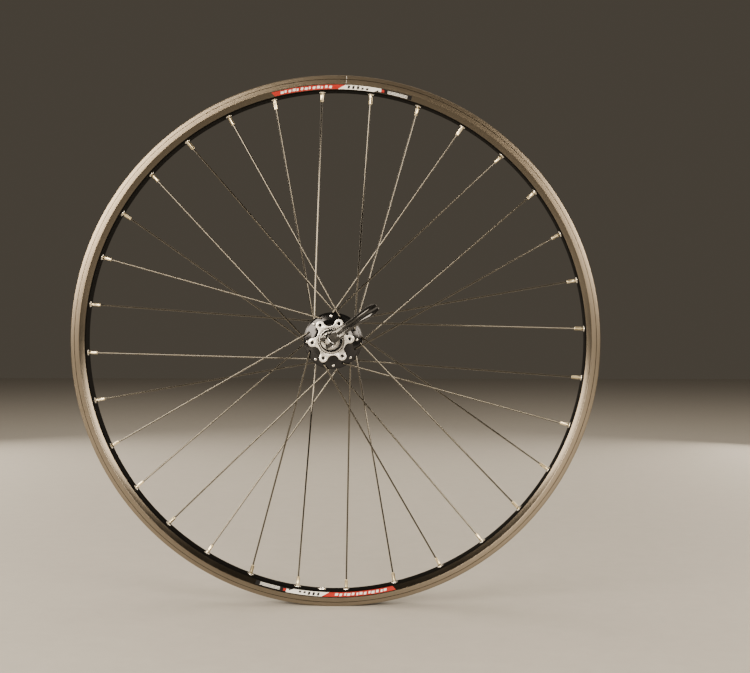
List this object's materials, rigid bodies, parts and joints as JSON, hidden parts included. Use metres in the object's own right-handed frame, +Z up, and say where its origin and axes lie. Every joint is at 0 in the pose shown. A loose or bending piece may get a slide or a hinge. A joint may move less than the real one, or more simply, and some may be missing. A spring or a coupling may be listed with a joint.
{
  "type": "rear bicycle wheel",
  "caption": "Spoked rear bicycle wheel with a disc brake hub, a splined freehub and a cam lever quick release skewer through its hollow axle.",
  "frame": {"origin": "the axle's centre, midway between the two faces that sit in the frame's dropouts", "axes": "+Y along the axle from the disc brake side to the drive side, +Z up, -X forward"},
  "size_m": [0.634, 0.1924, 0.634],
  "materials": {
    "rim_black": "satin black anodised",
    "hub_black": "glossy black anodised",
    "sleeve_red": "bright red anodised",
    "spoke_black": "black, with silver nipples",
    "silver_alloy": "turned, bare",
    "silver_steel": "bright plated",
    "bearing_steel": "ground steel",
    "freehub_nickel": "warm nickel plate",
    "lever_black": "glossy black",
    "seal_rubber": "matt"
  },
  "bodies": {
    "axle_set": {"axle": "silver_alloy", "end_cap_disc_side": "hub_black", "end_cap_drive_side": "hub_black", "locknut_disc_side": "silver_steel", "locknut_drive_side": "silver_steel", "freehub_spacer_inner": "silver_alloy", "freehub_spacer_outer": "silver_alloy"},
    "wheel": {"rim": "rim_black", "hub_shell": "hub_black", "hub_sleeve": "sleeve_red", "ratchet_ring": "bearing_steel", "bearing_disc_side": "bearing_steel", "bearing_drive_side": "bearing_steel", "spoke_disc_01": "spoke_black", "spoke_disc_02": "spoke_black", "spoke_disc_03": "spoke_black", "spoke_disc_04": "spoke_black", "spoke_disc_05": "spoke_black", "spoke_disc_06": "spoke_black", "spoke_disc_07": "spoke_black", "spoke_disc_08": "spoke_black", "spoke_disc_09": "spoke_black", "spoke_disc_10": "spoke_black", "spoke_disc_11": "spoke_black", "spoke_disc_12": "spoke_black", "spoke_disc_13": "spoke_black", "spoke_disc_14": "spoke_black", "spoke_disc_15": "spoke_black", "spoke_disc_16": "spoke_black", "spoke_drive_01": "spoke_black", "spoke_drive_02": "spoke_black", "spoke_drive_03": "spoke_black", "spoke_drive_04": "spoke_black", "spoke_drive_05": "spoke_black", "spoke_drive_06": "spoke_black", "spoke_drive_07": "spoke_black", "spoke_drive_08": "spoke_black", "spoke_drive_09": "spoke_black", "spoke_drive_10": "spoke_black", "spoke_drive_11": "spoke_black", "spoke_drive_12": "spoke_black", "spoke_drive_13": "spoke_black", "spoke_drive_14": "spoke_black", "spoke_drive_15": "spoke_black", "spoke_drive_16": "spoke_black"},
    "freehub": {"freehub_body": "freehub_nickel", "freehub_seal": "seal_rubber", "pawl_spring": "bearing_steel", "freehub_bearing_inner": "bearing_steel", "freehub_bearing_outer": "bearing_steel"},
    "pawl_1": {"pawl_1": "bearing_steel"},
    "pawl_2": {"pawl_2": "bearing_steel"},
    "pawl_3": {"pawl_3": "bearing_steel"},
    "skewer_clamp": {"qr_housing": "lever_black", "qr_spring_lever_side": "silver_steel"},
    "skewer_rod": {"qr_rod": "silver_steel"},
    "lever": {"qr_lever": "lever_black", "qr_pivot_pin": "silver_steel"},
    "nut_spring": {"qr_spring_nut_side": "silver_steel"},
    "nut": {"qr_nut": "lever_black"}
  },
  "joints": [
    {"name": "wheel_spin", "type": "hinge", "parent": "axle_set", "child": "wheel", "pos_m": [0, 0, 0], "axis": [0, 1, 0], "continuous": true},
    {"name": "freehub_spin", "type": "hinge", "parent": "axle_set", "child": "freehub", "pos_m": [0, 0.04, 0], "axis": [0, 1, 0], "continuous": true},
    {"name": "pawl_1_fold", "type": "hinge", "parent": "freehub", "child": "pawl_1", "pos_m": [0.0104, 0.0145, 0], "axis": [0, -1, 0], "range_deg": [0, 16], "stiffness_Nm_per_rad": 0.01, "springref_deg": -17.19},
    {"name": "pawl_2_fold", "type": "hinge", "parent": "freehub", "child": "pawl_2", "pos_m": [-0.0052, 0.0145, 0.00901], "axis": [0, -1, 0], "range_deg": [0, 16], "stiffness_Nm_per_rad": 0.01, "springref_deg": -17.19},
    {"name": "pawl_3_fold", "type": "hinge", "parent": "freehub", "child": "pawl_3", "pos_m": [-0.0052, 0.0145, -0.00901], "axis": [0, -1, 0], "range_deg": [0, 16], "stiffness_Nm_per_rad": 0.01, "springref_deg": -17.19},
    {"name": "skewer_turn", "type": "hinge", "parent": "axle_set", "child": "skewer_clamp", "pos_m": [0, -0.078, 0], "axis": [0, 1, 0], "continuous": true},
    {"name": "rod_draw", "type": "slide", "parent": "skewer_clamp", "child": "skewer_rod", "axis": [0, 1, 0], "range_m": [0, 0.0016]},
    {"name": "lever_swing", "type": "hinge", "parent": "skewer_rod", "child": "lever", "pos_m": [0, -0.091, 0], "axis": [0.5835, 0, -0.8121], "range_deg": [0, 155]},
    {"name": "nut_travel", "type": "slide", "parent": "skewer_rod", "child": "nut_spring", "axis": [0, 1, 0], "range_m": [0, 0.004]},
    {"name": "nut_spin", "type": "hinge", "parent": "nut_spring", "child": "nut", "pos_m": [0, 0.082, 0], "axis": [0, 1, 0], "range_deg": [0, 1800]}
  ],
  "couplings": [
    {"joint": "lever_swing", "follows": "rod_draw", "rad_per_m": 1690.8},
    {"joint": "nut_spin", "follows": "nut_travel", "rad_per_m": 7854}
  ]
}
